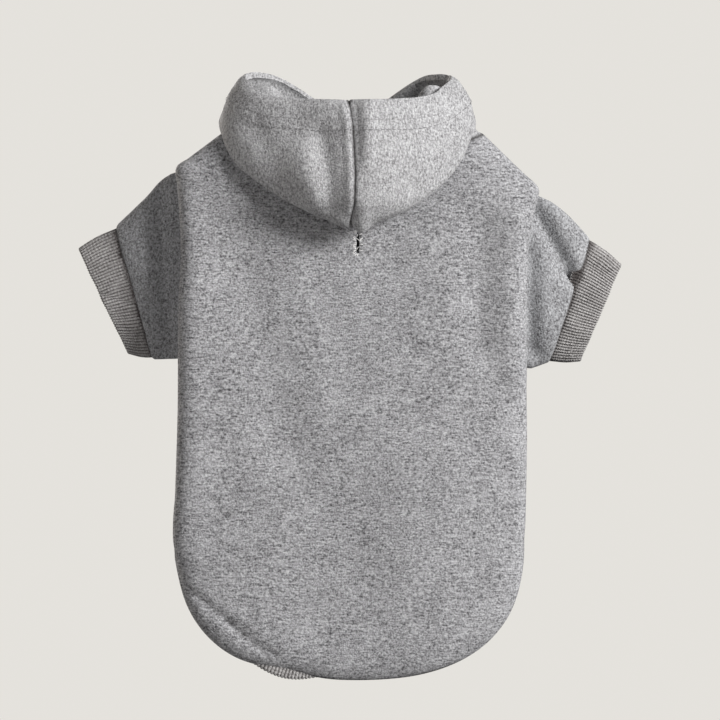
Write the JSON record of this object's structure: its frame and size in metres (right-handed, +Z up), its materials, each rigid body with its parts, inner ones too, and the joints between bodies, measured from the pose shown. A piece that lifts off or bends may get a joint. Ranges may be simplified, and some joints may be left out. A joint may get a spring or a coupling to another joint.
{
  "type": "dog hoodie",
  "caption": "Short-sleeved hooded fleece top for a small dog, hanging from its neck, with ribbed cuffs, a rounded back hem and a slit for a leash.",
  "frame": {"origin": "inside the neck, midway between the two shoulder points, where a hanger bears", "axes": "+Z up, +Y towards the belly side, -Y towards the back of the garment, +X to the right for someone who looks at its back"},
  "size_m": [0.2911, 0.0733, 0.3245],
  "materials": {
    "body_fleece": "heather grey knit, matt",
    "hood_fleece": "heather grey knit, matt",
    "sleeve_fleece": "heather grey knit, matt",
    "rib_knit": "grey rib knit, matt"
  },
  "bodies": {
    "root": {"back_panel": "body_fleece", "belly_panel": "body_fleece", "hem_rib": "rib_knit", "hood_left": "hood_fleece", "hood_right": "hood_fleece", "sleeve_left": "sleeve_fleece", "sleeve_right": "sleeve_fleece", "cuff_left": "rib_knit", "cuff_right": "rib_knit"}
  },
  "joints": []
}
